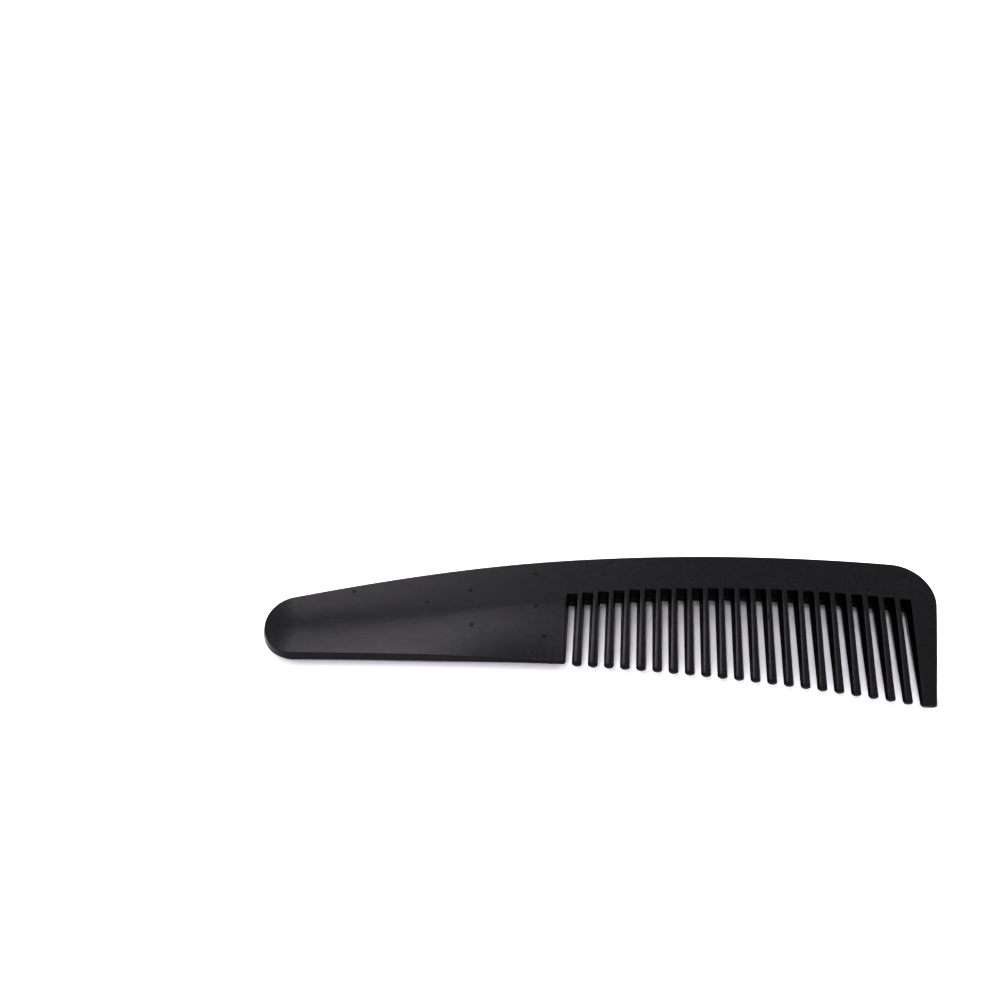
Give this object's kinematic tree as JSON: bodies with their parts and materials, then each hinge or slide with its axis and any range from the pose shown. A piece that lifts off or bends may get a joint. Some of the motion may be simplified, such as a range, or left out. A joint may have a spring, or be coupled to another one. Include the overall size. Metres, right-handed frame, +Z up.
{
  "type": "hair comb",
  "caption": "Black one-piece plastic hair comb: a wide-tooth row under a bowed spine, a wide guard tooth at the nose and a flat round-ended handle.",
  "frame": {"origin": "middle of the comb's footprint, on the surface it lies on", "axes": "+X along the comb from the round handle end to the nose, +Y from the tooth tips to the bowed back, +Z up through the thickness"},
  "size_m": [0.1712, 0.0386, 0.0064],
  "materials": {
    "moulding": "fine matte black, slightly mottled, with a soft sheen on the handle"
  },
  "bodies": {
    "root": {"handle": "moulding", "spine": "moulding", "tooth_01": "moulding", "tooth_02": "moulding", "tooth_03": "moulding", "tooth_04": "moulding", "tooth_05": "moulding", "tooth_06": "moulding", "tooth_07": "moulding", "tooth_08": "moulding", "tooth_09": "moulding", "tooth_10": "moulding", "tooth_11": "moulding", "tooth_12": "moulding", "tooth_13": "moulding", "tooth_14": "moulding", "tooth_15": "moulding", "tooth_16": "moulding", "tooth_17": "moulding", "tooth_18": "moulding", "tooth_19": "moulding", "tooth_20": "moulding", "tooth_21": "moulding", "end_tooth": "moulding"}
  },
  "joints": []
}
